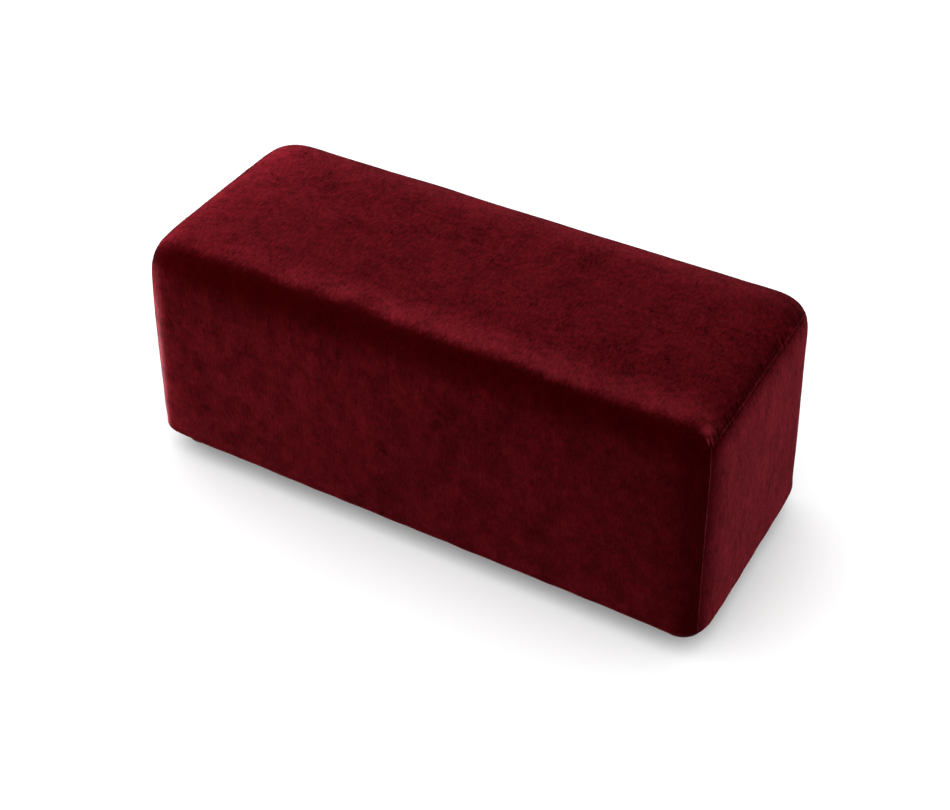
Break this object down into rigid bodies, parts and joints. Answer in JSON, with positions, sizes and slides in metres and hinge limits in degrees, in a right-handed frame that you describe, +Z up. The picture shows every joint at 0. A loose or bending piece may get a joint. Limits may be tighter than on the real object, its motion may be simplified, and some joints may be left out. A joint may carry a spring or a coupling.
{
  "type": "upholstered bench",
  "caption": "Long padded bench: a soft box with rounded edges in red velvet, sewn end panels, on low round black feet.",
  "frame": {"origin": "middle of the footprint, on the floor plane that the feet stand on", "axes": "+X along the length towards the right end, +Y from the front long side to the back, +Z up"},
  "size_m": [1.06, 0.44, 0.45],
  "materials": {
    "velvet": "burgundy cut-pile velvet with a soft sheen",
    "wadding": "white polyester wadding",
    "foam": "open-cell upholstery foam",
    "plywood": "raw plywood",
    "solid_wood": "planed softwood",
    "zinc_steel": "zinc-plated",
    "black_plastic": "fine-grained black moulding",
    "dust_cloth": "black spun-bonded non-woven"
  },
  "bodies": {
    "root": {"cover_wrap": "velvet", "cover_left_end": "velvet", "cover_right_end": "velvet", "wadding": "wadding", "seat_foam": "foam", "front_foam": "foam", "back_foam": "foam", "left_foam": "foam", "right_foam": "foam", "front_base_rail": "plywood", "back_base_rail": "plywood", "left_base_rail": "plywood", "right_base_rail": "plywood", "front_board": "plywood", "back_board": "plywood", "left_end_board": "plywood", "right_end_board": "plywood", "centre_rib": "plywood", "seat_board": "plywood", "front_left_post": "solid_wood", "front_right_post": "solid_wood", "back_left_post": "solid_wood", "back_right_post": "solid_wood", "base_dowels": "solid_wood", "base_screws": "zinc_steel", "wall_screws": "zinc_steel", "seat_screws": "zinc_steel", "tee_nuts": "zinc_steel", "foot_studs": "zinc_steel", "front_left_foot": "black_plastic", "front_right_foot": "black_plastic", "back_left_foot": "black_plastic", "back_right_foot": "black_plastic", "dust_cover": "dust_cloth", "cover_staples": "zinc_steel", "dust_cover_staples": "zinc_steel"}
  },
  "joints": []
}
